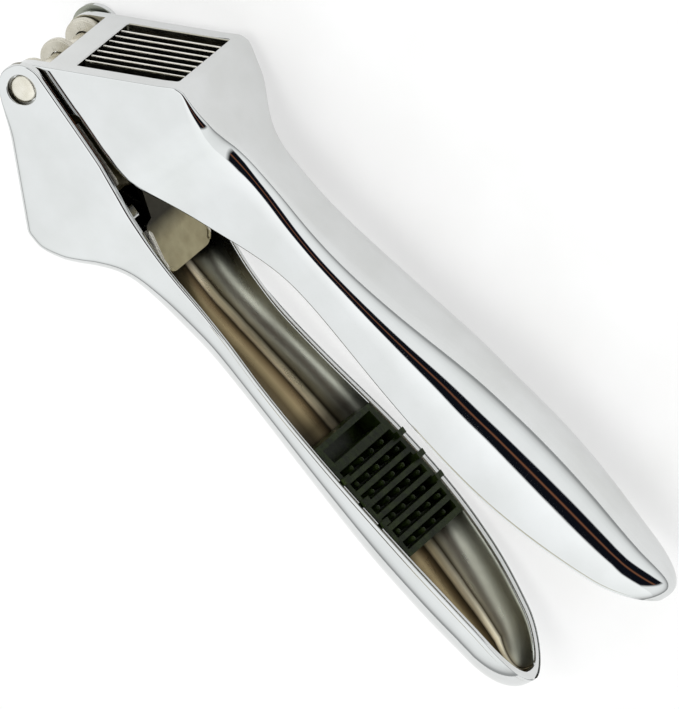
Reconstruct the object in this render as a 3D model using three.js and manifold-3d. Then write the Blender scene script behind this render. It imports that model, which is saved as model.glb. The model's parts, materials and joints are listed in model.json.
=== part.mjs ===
// Two-in-one garlic press and slicer, lying on its side as it rests on a table.
// Millimetres. The hinge axis stands upright along Z, the handles run along +X, and the
// slicing handle is the one on the +Y side. The press is drawn closed, as it is stored.
import * as THREE from 'three';
import { mergeVertices } from 'three/addons/utils/BufferGeometryUtils.js';
import Module from 'manifold-3d';

const wasm = await Module();
wasm.setup();

// ---------- driving dimensions ----------
const HEAD_WIDTH = 39.6;              // across the two cheeks of the mincing handle
const MID = HEAD_WIDTH / 2;           // height of the mirror plane
const EAR_RADIUS = 6.2;               // cheek ear round the hinge
const CHEEK_WALL = 2;
const MINCER_CORNER = 3;              // rounding along the back of the mincing head
const EAR_CORNER = 0.55;              // rounding of its ears
const TIP_ROUNDING = 14;              // length of a handle's end over which its tip closes
const TIP_BLUNTNESS = 2.8;            // how full the tip stays when seen from the side; 2 is an ellipse
const GAP = 0.3;                      // clearance between neighbouring pieces

const RIVET_RADIUS = 1.9;
const RIVET_BORE = RIVET_RADIUS + GAP;
const RIVET_HEAD = 3.3;
const RECESS_RADIUS = 3.7;
const RECESS_DEPTH = 1.2;
const RIVET_FLANGE = 0.25;            // straight part of the rivet head below its dome

const HOPPER_HALF = 17;               // half the width of the slicing head
const HOPPER_WALL = 3;
const HOPPER_EAR = 5.3;
const HOPPER_SHOULDER = 6.5;          // height of the slicing head's open mouth above the hinge
const WINDOW_SLOPE = THREE.MathUtils.degToRad(52.9);
const WINDOW_OFFSET = 5.4;            // window face to hinge axis
const WINDOW_PLATE = 2.5;
const WINDOW_START = 11;              // along the window face, from the foot of the hinge axis
const WINDOW_LENGTH = 26.2;
const WINDOW_WIDTH = 26;
const CHAMBER_REACH = 31.2;           // hinge axis to the chamber's curved front wall
const SLICER_CORNER = 1.4;
const NECK_HOLLOW = [46, 66];         // the slicing handle's trough deepens between these

const BLADE_COUNT = 7;
const BLADE_PITCH = 3.03;
const BLADE_THICKNESS = 0.5;
const BLADE_LOW = 1.5;                // blade edges, measured out from the hinge axis
const BLADE_HIGH = 4.7;
const FRAME_BORDER = 1.3;
const FRAME_LOW = 1.2;                // inner face of the blade frame, out from the hinge axis
const SLOT_REACH = WINDOW_LENGTH / 2 + 0.25;

const SIEVE_SLOPE = THREE.MathUtils.degToRad(-29.2);
const SIEVE_START = 8;
const SIEVE_OPENING = 25;
const SIEVE_SIDE = 27.8;
const SIEVE_THICKNESS = 1;
const SIEVE_OUT = EAR_RADIUS - CHEEK_WALL;       // inner face of the sieve wall
const SIEVE_SEAT = SIEVE_OUT + SIEVE_THICKNESS + GAP;
const SIEVE_LEDGE = (SIEVE_SIDE - SIEVE_OPENING) / 2;
const SIEVE_HOLE = 1.1;
const HOLE_PITCH = 3.6;               // from one row to the next
const HOLE_SPREAD = 5.2;              // from one hole to the next in a row
const HOLE_ROWS = 7;

const LUG_START = 36;                 // lugs inside the cheeks that stop the leaf
const LUG_LENGTH = 3.3;
const LUG_REACH = 13.4;
const LUG_LOW = 0.9;
const LUG_HIGH = 2.8;

const LEAF_TOP = 5.9;                 // plunger plate, measured up from the hinge axis
const LEAF_THICKNESS = 1.4;
const LEAF_HALF = 17;
const KNUCKLE_RADIUS = 5;
const KNUCKLE_WIDTH = 2;
const KNUCKLE_SPACING = 12.6;
const LEAF_BEND = 35.5;               // where the leaf starts to dip towards its tab
const NECK_HALF = 8.5;
const TAB_START = 43;
const TAB_TIP = 55.1;
const TAB_HALF = 11.8;
const TAB_CORNER = 4.5;
const BLOCK_REACH = 30.6;             // front face of the wedge that fills the slicing chamber
const BLOCK_HALF = 13.4;
const BLOCK_FACE = -2;                // its sloping face, out from the hinge axis towards the blades
const POCKET_REACH = 32;              // front face of the wedge that fills the mincing pocket
const POCKET_FACE = 3.1;              // its sloping face, out from the hinge axis towards the sieve
const EAR_CLEARANCE = 0.5;            // round the slicing head's ears

const TRAY_START = 106.5;             // cleaning pad, measured along the handle
const TRAY_END = 139.1;
const TRAY_DEPTH = 6;
const TRAY_SINK = 0.25;               // its top below the handle's rim
const TRAY_BORDER = 1.7;
const BAY_DEPTH = 4.6;
const RIB_COUNT = 8;
const RIB_PITCH = 3.55;
const RIB_WIDTH = 1.3;
const RIB_FIRST = 113.4;
const GROOVE_DEPTH = 3.4;
const PIN_RADIUS = 0.85;
const PIN_HEIGHT = 3.8;
const CLIP_PLACES = [116.2, 122.8, 129.3];
const CLIP_HALF = 0.9;
const CLIP_LIFT = 0.35;               // underside of a clip above the rim it stops against
const CLIP_TOP = 1.15;
const CLIP_ROOT = 2.2;                // how far a clip reaches into the pad

// The two grid faces are planes at a fixed distance from the hinge axis.
const windowPlane = (x) => (WINDOW_OFFSET + x * Math.sin(WINDOW_SLOPE)) / Math.cos(WINDOW_SLOPE);
const sievePlane = (x) => (x * Math.sin(SIEVE_SLOPE) - EAR_RADIUS) / Math.cos(SIEVE_SLOPE);
const WINDOW_END = 19;                // x at which the flat window face starts to round over
const SIEVE_END = 26;

// Mincing handle: [x, rim height, belly height, half width, roundness, wall]
const MINCER = [
  [0, EAR_RADIUS, sievePlane(0), MID, 0, CHEEK_WALL],
  [15, EAR_RADIUS, sievePlane(15), MID, 0, CHEEK_WALL],
  [24, 6.1, sievePlane(24), MID, 0, CHEEK_WALL],
  [SIEVE_END, 5.9, sievePlane(SIEVE_END), MID, 0, CHEEK_WALL],
  [29, 5.5, -23, 19.7, 0, CHEEK_WALL],
  [32, 5, -23, 19.4, 0, CHEEK_WALL],
  [38, 3.5, -20.9, 18.2, 0.03, CHEEK_WALL],
  [41.5, 2.8, -18.2, 17.4, 0.08, 1.9],
  [44, 2.3, -15.1, 16.8, 0.14, 1.8],
  [47, 1.8, -12.5, 16.2, 0.25, 1.7],
  [51, 1.4, -11.1, 15.4, 0.4, 1.6],
  [57, 1.1, -10.9, 14.5, 0.62, 1.5],
  [65, 1.3, -10.7, 13.3, 0.85, 1.5],
  [75, 1.9, -9.3, 12.95, 1, 1.5],
  [85, 2.9, -7.7, 13.9, 1, 1.5],
  [95, 4.35, -6.5, 14.9, 1, 1.6],
  [105, 6.1, -5.7, 15.85, 1, 1.7],
  [115, 7.85, -5, 16.6, 1, 1.85],
  [125, 9.45, -4.5, 16.8, 1, 2],
  [135, 10.8, -3.9, 16.5, 1, 2.2],
  [145, 11.8, -2.9, 15.6, 1, 2.4],
  [155, 12.45, -1.9, 14, 1, 2.4],
  [165, 12.55, -0.4, 11.6, 1, 2.4],
  [172.5, 11.9, 0.3, 9.8, 1, 2.4],
  [179.9, 10.6, 0.6, 8, 1, 2.4],
];
// Slicing handle: [x, mouth height, back height, half width, roundness, wall]
const SLICER = [
  [-2, HOPPER_SHOULDER, windowPlane(-2), HOPPER_HALF, 0, 3],
  [16, HOPPER_SHOULDER, windowPlane(16), HOPPER_HALF, 0, 3],
  [WINDOW_END, HOPPER_SHOULDER, windowPlane(WINDOW_END), HOPPER_HALF, 0, 3],
  [21, HOPPER_SHOULDER, 34.9, HOPPER_HALF, 0, 3],
  [26, HOPPER_SHOULDER, 34.5, 16.7, 0.04, 3],
  [30, 6.6, 34.3, 16, 0.08, 3],
  [34, 6.9, 33.8, 14.2, 0.14, 3],
  [38, 7.9, 33.3, 11.9, 0.2, 3],
  [42, 9.5, 33, 10.6, 0.24, 3],
  [46, 11.7, 33.2, 10.1, 0.28, 2.6],
  [52, 15, 34, 10.2, 0.34, 2.4],
  [60, 19.8, 35, 10.6, 0.42, 2.2],
  [70, 24.6, 37.1, 11.3, 0.5, 2.1],
  [80, 27, 39.9, 12.1, 0.58, 2.1],
  [90, 28.7, 43.1, 13, 0.7, 2.1],
  [100, 30.3, 46.6, 13.9, 0.82, 2.1],
  [110, 31.9, 49.9, 14.5, 0.92, 2.1],
  [120, 33.7, 52.6, 14.9, 1, 2.1],
  [130, 35.7, 55, 14.9, 1, 2.1],
  [140, 38.1, 56.8, 14.4, 1, 2.1],
  [150, 41, 58, 13.3, 1, 2.1],
  [160, 44.3, 58.8, 11.7, 1, 2.1],
  [167, 46.9, 59.4, 10.3, 1, 2.1],
  [172, 49.1, 60.1, 9.4, 1, 2.1],
  [179.1, 53.4, 62.2, 8, 1, 2.1],
];
const [OPEN, CLOSED, HALF, ROUND, WALL] = [1, 2, 3, 4, 5];
const MINCER_TIP = MINCER.at(-1)[0];
const SLICER_TIP = SLICER.at(-1)[0];

// x of the sections through the ears, the heads, the handles and their tips.
const EAR_ANGLES = [2.5, 12, 26, 42, 60, 76];
const MINCER_HEAD = [
  0, 4, 10, 18, 24, SIEVE_END, 27.5, 29, 30.5, 32, 34, 36, 38, 40, 42, 44, 46, 48.5, 51, 54, 58,
];
const SLICER_HEAD = [
  -1.5, 4, 12, WINDOW_END, 19.7, 20.4, 21.2, 24, 27, 30, 32, 34, 36, 38, 40, 43, 46, 50, 55,
];
const SLICER_TROUGH = [52, 56, 60, 65, 70, 75, 80, 85, 90, 95, 100, 105, 110, 115, 120, 125, 130, 135,
  140, 145, 150, 155, 160, 164, 168, 171, 173.5];
const TIP_ANGLES = [0, 20, 38, 52, 64, 74, 81, 86];
const CORNER_STEPS = 6;

// ---------- finishes ----------
const finish = (color, metalness, roughness) =>
  new THREE.MeshStandardMaterial({ color, metalness, roughness });
const CHROME = finish(0xe4e8e9, 1, 0.06);
const SATIN = finish(0xb7ac97, 1, 0.34);
const STEEL = finish(0xd9d6cd, 1, 0.2);
const OLIVE = finish(0x23271a, 0, 0.42);

// ---------- shape helpers ----------
// Shape-preserving cubic through the rows of a table, so straight stretches stay straight.
function tableCurve(rows, column) {
  const slope = rows.slice(1).map((row, i) => (row[column] - rows[i][column]) / (row[0] - rows[i][0]));
  const tangent = rows.map((_, i) => {
    const [before, after] = [slope[i - 1] ?? slope[i], slope[i] ?? slope[i - 1]];
    return before * after <= 0 ? 0 : (2 * before * after) / (before + after);
  });
  return (x) => {
    const next = rows.findIndex((row) => row[0] > x);
    const i = next < 0 ? rows.length - 2 : Math.max(0, next - 1);
    const span = rows[i + 1][0] - rows[i][0];
    const t = THREE.MathUtils.clamp((x - rows[i][0]) / span, 0, 1);
    const [a, b] = [rows[i][column], rows[i + 1][column]];
    return a * (1 + 2 * t) * (1 - t) ** 2 + b * t * t * (3 - 2 * t)
      + span * (tangent[i] * t * (1 - t) ** 2 + tangent[i + 1] * t * t * (t - 1));
  };
}

// A closed three.js geometry as a solid that can be joined and cut.
function solid(geometry) {
  const bare = geometry.clone();
  bare.deleteAttribute('normal');
  bare.deleteAttribute('uv');
  const merged = mergeVertices(bare, 1e-4);
  const vertProperties = merged.attributes.position.array;
  const triVerts = new Uint32Array(merged.index.array);
  return new wasm.Manifold(new wasm.Mesh({ numProp: 3, vertProperties, triVerts }));
}

function piece(name, shape, material) {
  const { vertProperties, triVerts } = shape.getMesh();
  const geometry = new THREE.BufferGeometry();
  geometry.setAttribute('position', new THREE.BufferAttribute(vertProperties, 3));
  geometry.setIndex(new THREE.BufferAttribute(triVerts, 1));
  const mesh = new THREE.Mesh(geometry, material);
  mesh.name = name;
  return mesh;
}

// Upright prism over an outline in the XY plane.
function prism(outline, low, high, curveSegments = 10) {
  const shape = outline instanceof THREE.Shape
    ? outline : new THREE.Shape(outline.map(([x, y]) => new THREE.Vector2(x, y)));
  const options = { depth: high - low, bevelEnabled: false, curveSegments };
  return solid(new THREE.ExtrudeGeometry(shape, options).translate(0, 0, low));
}

const block = (x0, x1, y0, y1, z0, z1) => prism([[x0, y0], [x1, y0], [x1, y1], [x0, y1]], z0, z1);

function post(x, y, radius, low, high, sides = 24) {
  const cylinder = new THREE.CylinderGeometry(radius, radius, high - low, sides).rotateX(Math.PI / 2);
  return solid(cylinder.translate(x, y, (low + high) / 2));
}

// Points of a grid face: along it from the foot of the hinge axis, and out from the axis.
const windowPoint = (along, out) => [
  along * Math.cos(WINDOW_SLOPE) - out * Math.sin(WINDOW_SLOPE),
  along * Math.sin(WINDOW_SLOPE) + out * Math.cos(WINDOW_SLOPE),
];
const sievePoint = (along, out) => [
  along * Math.cos(SIEVE_SLOPE) + out * Math.sin(SIEVE_SLOPE),
  along * Math.sin(SIEVE_SLOPE) - out * Math.cos(SIEVE_SLOPE),
];
function slab(point, start, end, inner, outer, halfWidth, middle = MID) {
  const corners = [point(start, inner), point(end, inner), point(end, outer), point(start, outer)];
  return prism(corners, middle - halfWidth, middle + halfWidth);
}

function arc(radius, fromDegrees, toDegrees, steps = 10) {
  return Array.from({ length: steps + 1 }, (_, i) => {
    const angle = THREE.MathUtils.degToRad(fromDegrees + ((toDegrees - fromDegrees) * i) / steps);
    return [radius * Math.cos(angle), radius * Math.sin(angle)];
  });
}

// Solid through cross-sections that stand across the handle; each section lists [y, z] points.
function loft(stations, section) {
  const rings = stations.map((x) => section(x).map(([y, z]) => [x, y, z]));
  const count = rings[0].length;
  const at = (ring, i) => ring * count + (i % count);
  const index = [];
  for (let ring = 0; ring < rings.length - 1; ring++) {
    for (let i = 0; i < count; i++) {
      index.push(at(ring, i), at(ring, i + 1), at(ring + 1, i));
      index.push(at(ring, i + 1), at(ring + 1, i + 1), at(ring + 1, i));
    }
  }
  const last = rings.length - 1;
  for (let i = 1; i < count - 1; i++) {
    index.push(at(0, 0), at(0, i + 1), at(0, i));
    index.push(at(last, 0), at(last, i), at(last, i + 1));
  }
  const geometry = new THREE.BufferGeometry();
  geometry.setAttribute('position', new THREE.Float32BufferAttribute(rings.flat(2), 3));
  geometry.setIndex(index);
  const made = solid(geometry);
  return made.volume() > 0 ? made : solid(flipped(geometry));
}

function flipped(geometry) {
  const index = geometry.index.array;
  for (let i = 0; i < index.length; i += 3) [index[i + 1], index[i + 2]] = [index[i + 2], index[i + 1]];
  return geometry;
}

// ---------- the two handle castings ----------
// Outer form of a handle at x: open side, closed back, half width, roundness and wall.
// mouthNear and backNear give the exact heights near the hinge, and null further out.
function handleForm(table, mouthNear, backNear) {
  const tip = table.at(-1)[0];
  const [mouth, back, half, round, wall] = [OPEN, CLOSED, HALF, ROUND, WALL].map((c) => tableCurve(table, c));
  return (x) => {
    const closing = THREE.MathUtils.clamp((x - (tip - TIP_ROUNDING)) / TIP_ROUNDING, 0, 1);
    const taper = Math.sqrt(1 - closing * closing);
    const depthTaper = (1 - closing ** TIP_BLUNTNESS) ** (1 / TIP_BLUNTNESS);
    const open = mouthNear(x) ?? mouth(x);
    const closed = open + ((backNear(x) ?? back(x)) - open) * depthTaper;
    return { open, closed, half: half(x) * taper, round: round(x), wall: wall(x) };
  };
}

const earSide = (x) => Math.sqrt(Math.max(0, EAR_RADIUS ** 2 - x * x));
const EAR_TANGENT = -EAR_RADIUS * Math.sin(-SIEVE_SLOPE);   // x where the ear meets the sieve wall
const mincerForm = handleForm(
  MINCER,
  (x) => (x < 0 ? earSide(x) : null),
  (x) => (x < EAR_TANGENT ? -earSide(x) : x < SIEVE_END ? sievePlane(x) : null),
);
const slicerForm = handleForm(
  SLICER, () => null, (x) => (x < WINDOW_END ? windowPlane(x) : null),
);

// Section of a handle: straight sides with rounded back corners that grow into a full oval.
function handleSection({ open, closed, half, round }, corner) {
  const depth = Math.abs(closed - open);
  const way = Math.sign(closed - open);
  const reachZ = THREE.MathUtils.lerp(Math.min(corner, half), half, round);
  const reachY = THREE.MathUtils.lerp(Math.min(corner, depth * 0.45), depth, round);
  const side = Array.from({ length: CORNER_STEPS + 1 }, (_, i) => {
    const angle = (i / CORNER_STEPS) * (Math.PI / 2);
    return [closed - way * reachY * (1 - Math.sin(angle)), half - reachZ * (1 - Math.cos(angle))];
  });
  const nearSide = [[open, half], ...side];
  const points = [...nearSide, ...nearSide.map(([y, z]) => [y, -z]).reverse()];
  return points.map(([y, z]) => [y, MID + z]);
}

// The hollow inside a handle, opened past its mouth so that it cuts the mouth free. Where the
// back is steep its wall is measured square to it, up to a limit.
const HOLLOW_OVERSHOOT = 4;
const STEEPEST = 1.6;
function hollowSection(form, x, extraWall, corner) {
  const { open, closed, half, round, wall } = form(x);
  const way = Math.sign(closed - open);
  const rise = form(x + 0.5).closed - form(x - 0.5).closed;
  const thick = (wall + extraWall) * Math.min(STEEPEST, Math.hypot(1, rise));
  const inner = { open, closed: closed - way * thick, half: half - wall - extraWall, round };
  const points = handleSection(inner, corner);
  points[0][0] -= way * HOLLOW_OVERSHOOT;
  points.at(-1)[0] -= way * HOLLOW_OVERSHOOT;
  return points;
}

const range = (from, to, step) =>
  Array.from({ length: Math.round((to - from) / step) + 1 }, (_, i) => from + i * step);
const tipStations = (tip) => TIP_ANGLES.map(
  (angle) => tip - TIP_ROUNDING * (1 - Math.sin(THREE.MathUtils.degToRad(angle))),
);
const earStations = EAR_ANGLES.map((angle) => -EAR_RADIUS * Math.cos(THREE.MathUtils.degToRad(angle)));
// Where the hollow ends: the last x that still leaves a full wall round it.
function hollowEnd(form, tip, extraWall = 0) {
  let x = tip;
  while (form(x).half - form(x).wall - extraWall < 1) x -= 0.1;
  return x;
}

function troughHollow(extraWall, from, to) {
  const end = Math.min(to, hollowEnd(mincerForm, MINCER_TIP, extraWall));
  const stations = [...MINCER_HEAD, ...range(62, MINCER_TIP - TIP_ROUNDING - 2, 5.1)]
    .filter((x) => x > from + 0.5 && x < end - 0.5);
  const nose = tipStations(MINCER_TIP).filter((x) => x > stations.at(-1) + 0.5 && x < end - 0.3);
  return loft([from, ...stations, ...nose, end], (x) => hollowSection(mincerForm, x, extraWall, 1));
}

function mincerHandle() {
  const stations = [...earStations, ...MINCER_HEAD, ...range(62, 162, 5), ...tipStations(MINCER_TIP)];
  const corner = (x) => THREE.MathUtils.lerp(EAR_CORNER, MINCER_CORNER, THREE.MathUtils.smoothstep(x, -3, 9));
  const shell = loft(stations, (x) => handleSection(mincerForm(x), corner(x)));
  const sieveEnd = SIEVE_START + SIEVE_OPENING;
  const ledge = SIEVE_LEDGE + GAP;
  const cuts = [
    troughHollow(0, -12, MINCER_TIP),
    post(0, 0, EAR_RADIUS + 0.9, CHEEK_WALL, HEAD_WIDTH - CHEEK_WALL, 40),
    post(0, 0, RIVET_BORE, -1, HEAD_WIDTH + 1),
    post(0, 0, RECESS_RADIUS, -1, RECESS_DEPTH, 36),
    post(0, 0, RECESS_RADIUS, HEAD_WIDTH - RECESS_DEPTH, HEAD_WIDTH + 1, 36),
    slab(sievePoint, SIEVE_START, sieveEnd, 0, 9, SIEVE_OPENING / 2),
    slab(sievePoint, SIEVE_START - ledge, sieveEnd + ledge, 0, SIEVE_SEAT, SIEVE_SIDE / 2 + GAP),
  ];
  const hollowed = cuts.reduce((body, cut) => body.subtract(cut), shell);
  return [-1, 1].reduce((body, way) => body.add(lug(way)), hollowed);
}

function lug(way) {
  const root = mincerForm(LUG_START).half - CHEEK_WALL / 2;
  const [low, high] = [MID + way * LUG_REACH, MID + way * root].sort((a, b) => a - b);
  return block(LUG_START, LUG_START + LUG_LENGTH, LUG_LOW, LUG_HIGH, low, high);
}

// Side plates carry the slicing head's ears down round the rivet.
function earProfile(extra) {
  const ear = HOPPER_EAR + extra;
  return [
    [1.5, 10.9], windowPoint(4.45, WINDOW_OFFSET - 0.1), ...arc(ear, 150, 330, 16),
    [12 + extra * 2, HOPPER_SHOULDER], [12 + extra * 2, 12],
  ];
}

function chamberOutline() {
  const inner = WINDOW_OFFSET - WINDOW_PLATE;
  const frontWall = arc(CHAMBER_REACH, -25, 35, 8);
  return [windowPoint(-15, inner), [-11, -16], [28, -16], ...frontWall,
    windowPoint(WINDOW_START + WINDOW_LENGTH + 2.4, inner)];
}

function slicerHandle() {
  const stations = [...SLICER_HEAD, ...range(60, 160, 5), ...tipStations(SLICER_TIP)];
  const shell = loft(stations, (x) => handleSection(slicerForm(x), SLICER_CORNER + 3 * slicerForm(x).round));
  const inside = HOPPER_HALF - HOPPER_WALL;
  const earLow = prism(earProfile(0), MID - HOPPER_HALF, MID - inside);
  const earHigh = prism(earProfile(0), MID + inside, MID + HOPPER_HALF);
  const end = hollowEnd(slicerForm, SLICER_TIP);
  const hollowStations = SLICER_TROUGH.filter((x) => x < end - 1);
  return shell.add(earLow).add(earHigh)
    .subtract(prism(chamberOutline(), MID - inside, MID + inside))
    .subtract(slab(windowPoint, WINDOW_START, WINDOW_START + WINDOW_LENGTH, 0, 8, WINDOW_WIDTH / 2))
    .subtract(loft([...hollowStations, end], rampedHollow))
    .subtract(post(0, 0, RIVET_BORE, 0, HEAD_WIDTH));
}

// The slicing handle's trough starts shallow at the neck.
function rampedHollow(x) {
  const depth = THREE.MathUtils.smoothstep(x, ...NECK_HOLLOW);
  const shallow = (at) => {
    const form = slicerForm(at);
    return { ...form, closed: form.open + (form.closed - form.open - form.wall) * depth + form.wall };
  };
  return hollowSection(shallow, x, 0, 1.5);
}

// ---------- plunger between the two chambers ----------
function plunger() {
  const plate = prism(leafSide(), 0, HEAD_WIDTH).intersect(leafPlan());
  const knuckles = [-KNUCKLE_SPACING, 0, KNUCKLE_SPACING].map((offset) =>
    post(0, 0, KNUCKLE_RADIUS, MID + offset - KNUCKLE_WIDTH / 2, MID + offset + KNUCKLE_WIDTH / 2, 36));
  const wedges = [
    prism(slicingWedge(), MID - BLOCK_HALF, MID + BLOCK_HALF),
    prism(mincingWedge(), MID - LEAF_HALF, MID + LEAF_HALF),
  ];
  const inside = HOPPER_HALF - HOPPER_WALL - EAR_CLEARANCE;
  const earClear = prism(earProfile(EAR_CLEARANCE), MID + inside, MID + HOPPER_HALF + 1);
  const body = [...wedges, ...knuckles].reduce((sum, next) => sum.add(next), plate);
  return body
    .subtract(earClear)
    .subtract(earClear.mirror([0, 0, 1]).translate([0, 0, HEAD_WIDTH]))
    .subtract(post(0, 0, RIVET_BORE, 0, HEAD_WIDTH));
}

// The plate seen along the rivet: level under the chamber, then bending down to the tab.
function leafSide() {
  const edge = BLOCK_REACH - 1.5;
  const upper = [[4, LEAF_TOP], [edge, LEAF_TOP], [LEAF_BEND, 3.7], [TAB_START, 1], [TAB_TIP, -1.55]];
  return [...upper.map(([x, y]) => [x, y - LEAF_THICKNESS]), ...upper.reverse()];
}

const degreesOf = (sine) => THREE.MathUtils.radToDeg(Math.asin(sine));

function slicingWedge() {
  const low = LEAF_TOP - LEAF_THICKNESS;
  const end = THREE.MathUtils.radToDeg(WINDOW_SLOPE) + degreesOf(BLOCK_FACE / BLOCK_REACH);
  return [[8, low], ...arc(BLOCK_REACH, degreesOf(low / BLOCK_REACH), end), windowPoint(10, BLOCK_FACE)];
}

function mincingWedge() {
  const low = LEAF_TOP - LEAF_THICKNESS;
  const start = THREE.MathUtils.radToDeg(SIEVE_SLOPE) - degreesOf(POCKET_FACE / POCKET_REACH);
  return [
    sievePoint(4.5, POCKET_FACE), ...arc(POCKET_REACH, start, degreesOf(low / POCKET_REACH)), [5, low + 0.1],
  ];
}

// Plan of the plunger plate, with the thumb tab beyond its neck.
function leafPlan() {
  const [cornerX, cornerZ] = [TAB_TIP - TAB_CORNER, TAB_HALF - TAB_CORNER];
  const corner = arc(TAB_CORNER, 90, 0, 5).map(([x, z]) => [cornerX + x, cornerZ + z]);
  const half = [
    [-6, BLOCK_HALF], [13.6, BLOCK_HALF], [13.6, LEAF_HALF], [30.4, LEAF_HALF], [33, NECK_HALF],
    [TAB_START - 1.4, NECK_HALF], [TAB_START - 0.6, TAB_HALF - 0.4], [TAB_START + 0.2, TAB_HALF], ...corner,
  ];
  const outline = [...half, ...half.map(([x, z]) => [x, -z]).reverse()];
  const shape = new THREE.Shape(outline.map(([x, z]) => new THREE.Vector2(x, z)));
  const geometry = new THREE.ExtrudeGeometry(shape, { depth: 60, bevelEnabled: false });
  return solid(geometry.rotateX(Math.PI / 2).translate(0, 30, MID));
}

// ---------- rivet, grids and blades ----------
function rivet() {
  const reach = MID - 0.1;
  const seat = MID - RECESS_DEPTH + GAP;
  const brim = seat + RIVET_FLANGE;
  const dome = [0, 20, 40, 60, 78].map((angle) => {
    const a = THREE.MathUtils.degToRad(90 - angle);
    return new THREE.Vector2(RIVET_HEAD * Math.cos(a), brim + (reach - brim) * Math.sin(a));
  });
  const top = [...dome, new THREE.Vector2(RIVET_HEAD, seat), new THREE.Vector2(RIVET_RADIUS, seat)];
  const profile = [...top, ...top.map((p) => new THREE.Vector2(p.x, -p.y)).reverse()];
  const lathe = new THREE.LatheGeometry(profile.reverse(), 28);
  return solid(lathe.rotateX(Math.PI / 2).translate(0, 0, MID));
}

function sievePlate() {
  const plate = slab(sievePoint, SIEVE_START - SIEVE_LEDGE, SIEVE_START + SIEVE_OPENING + SIEVE_LEDGE,
    SIEVE_OUT, SIEVE_OUT + SIEVE_THICKNESS, SIEVE_SIDE / 2);
  const holes = gridPlaces(HOLE_PITCH).map(([u, v]) => {
    const [x, y] = sievePoint(SIEVE_START + SIEVE_OPENING / 2 + u, SIEVE_OUT);
    const drill = new THREE.CylinderGeometry(SIEVE_HOLE, SIEVE_HOLE, 6, 8).rotateZ(SIEVE_SLOPE);
    return solid(drill.translate(x, y, MID + v));
  });
  return holes.reduce((rest, hole) => rest.subtract(hole), plate);
}

// Places of the holes and of the pins that clean them: rows along u, spread across v, with
// four and five in a row by turns.
function gridPlaces(rowPitch) {
  return range(0, HOLE_ROWS - 1, 1).flatMap((row) => {
    const count = row % 2 ? 5 : 4;
    const u = (row - (HOLE_ROWS - 1) / 2) * rowPitch;
    return range(0, count - 1, 1).map((i) => [u, (i - (count - 1) / 2) * HOLE_SPREAD]);
  });
}

const WINDOW_MIDDLE = WINDOW_START + WINDOW_LENGTH / 2;
const bladeOffsets = range(0, BLADE_COUNT - 1, 1).map((i) => (i - (BLADE_COUNT - 1) / 2) * BLADE_PITCH);

function windowSlab(reach, inner, outer, halfWidth, middle = MID) {
  return slab(windowPoint, WINDOW_MIDDLE - reach, WINDOW_MIDDLE + reach, inner, outer, halfWidth, middle);
}

// The ring that holds the blades' ends in slots behind the window.
function bladeFrame() {
  const length = WINDOW_LENGTH / 2 + 0.8;
  const width = HOPPER_HALF - HOPPER_WALL - GAP;
  const high = WINDOW_OFFSET - WINDOW_PLATE - GAP;
  const ring = windowSlab(length, FRAME_LOW, high, width)
    .subtract(windowSlab(length - FRAME_BORDER, 0, 6, width - FRAME_BORDER));
  const slots = bladeOffsets.map((offset) =>
    windowSlab(SLOT_REACH, BLADE_LOW - 0.01, 8, BLADE_THICKNESS / 2 + GAP, MID + offset));
  return slots.reduce((rest, slot) => rest.subtract(slot), ring);
}

function blade(offset) {
  return windowSlab(
    WINDOW_LENGTH / 2 - GAP, BLADE_LOW + GAP, BLADE_HIGH, BLADE_THICKNESS / 2, MID + offset,
  );
}

// ---------- cleaning pad stored in the mincing handle ----------
const rimAt = (x) => mincerForm(x).open;
const innerHalfAt = (x) => mincerForm(x).half - mincerForm(x).wall;

function cleaningPad() {
  const middle = RIB_FIRST + (RIB_COUNT - 1) / 2 * RIB_PITCH;
  const pins = gridPlaces(RIB_PITCH).map(([u, v]) => cleaningPin(middle + u, v));
  const clips = CLIP_PLACES.flatMap((x) => [clip(x, -1), clip(x, 1)]);
  const carved = [...grooves(), bay()].reduce((rest, cut) => rest.subtract(cut), trayBlank());
  return [...pins, ...clips].reduce((sum, next) => sum.add(next), carved);
}

// The handle's hollow filled from just below its rim down to the tray's depth.
function trayBlank() {
  const edge = MID - 1;
  const band = loft(range(TRAY_START, TRAY_END, (TRAY_END - TRAY_START) / 8), (x) => {
    const [low, high] = [rimAt(x) - TRAY_DEPTH, rimAt(x) - TRAY_SINK];
    return [[low, MID - edge], [high, MID - edge], [high, MID + edge], [low, MID + edge]];
  });
  return troughHollow(GAP + 0.1, TRAY_START - 3, TRAY_END + 3).intersect(band);
}

// The spaces between the cross ribs.
function grooves() {
  return range(0, RIB_COUNT - 2, 1).map((i) => {
    const start = RIB_FIRST + i * RIB_PITCH + RIB_WIDTH / 2;
    const reach = innerHalfAt(start) - TRAY_BORDER;
    const floor = rimAt(start) - GROOVE_DEPTH;
    return block(start, start + RIB_PITCH - RIB_WIDTH, floor, floor + 7, MID - reach, MID + reach);
  });
}

// The plain recess at the hinge end of the pad.
function bay() {
  const floor = rimAt(TRAY_START) - BAY_DEPTH;
  return block(TRAY_START + 1.4, RIB_FIRST - 1.6, floor, floor + 9, MID - 12, MID + 12);
}

function cleaningPin(x, offset) {
  const pin = new THREE.CylinderGeometry(PIN_RADIUS * 0.8, PIN_RADIUS, PIN_HEIGHT, 7);
  return solid(pin.translate(x, rimAt(x) - 2.1, MID + offset));
}

// A lug that rests on the handle's rim and stops the pad from dropping in.
function clip(x, way) {
  const [rim, inner] = [rimAt(x), innerHalfAt(x)];
  const part = (low, reach) => {
    const [near, far] = [MID + way * (inner - CLIP_ROOT), MID + way * reach].sort((a, b) => a - b);
    return block(x - CLIP_HALF, x + CLIP_HALF, rim + low, rim + CLIP_TOP, near, far);
  };
  return part(CLIP_LIFT, inner + 1.3).add(part(-2, inner - 0.5));
}

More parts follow.
